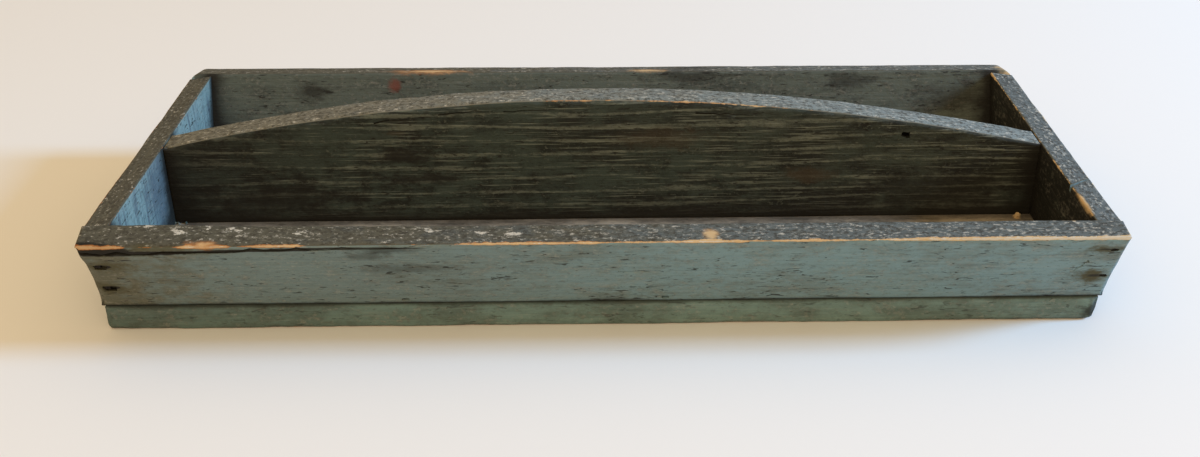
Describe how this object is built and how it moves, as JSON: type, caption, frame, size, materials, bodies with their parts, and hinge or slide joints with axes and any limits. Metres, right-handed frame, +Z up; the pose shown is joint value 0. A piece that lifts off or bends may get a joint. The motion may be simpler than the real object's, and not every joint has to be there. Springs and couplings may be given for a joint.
{
  "type": "knife box",
  "caption": "Low open wooden tray with leaning sides, a nailed-on bottom and an arched centre divider that serves as its handle.",
  "frame": {"origin": "centre of the underside of the bottom board", "axes": "+X along the box to the right, +Y from front to back, +Z up"},
  "size_m": [0.46, 0.2146, 0.077],
  "materials": {
    "side_wood": "worn blue-green milk paint on pine",
    "end_wood": "worn blue-green milk paint on pine",
    "divider_wood": "dark grimy paint on pine",
    "bottom_wood": "grimy paint outside, dusty worn wood inside",
    "nail_iron": "rusted"
  },
  "bodies": {
    "root": {"bottom_board": "bottom_wood", "front_side_board": "side_wood", "back_side_board": "side_wood", "left_end_board": "end_wood", "right_end_board": "end_wood", "divider": "divider_wood", "front_left_corner_nails": "nail_iron", "front_right_corner_nails": "nail_iron", "back_left_corner_nails": "nail_iron", "back_right_corner_nails": "nail_iron", "left_divider_nails": "nail_iron", "right_divider_nails": "nail_iron", "front_bottom_nails": "nail_iron", "back_bottom_nails": "nail_iron", "left_bottom_nails": "nail_iron", "right_bottom_nails": "nail_iron", "divider_bottom_nails": "nail_iron"}
  },
  "joints": []
}
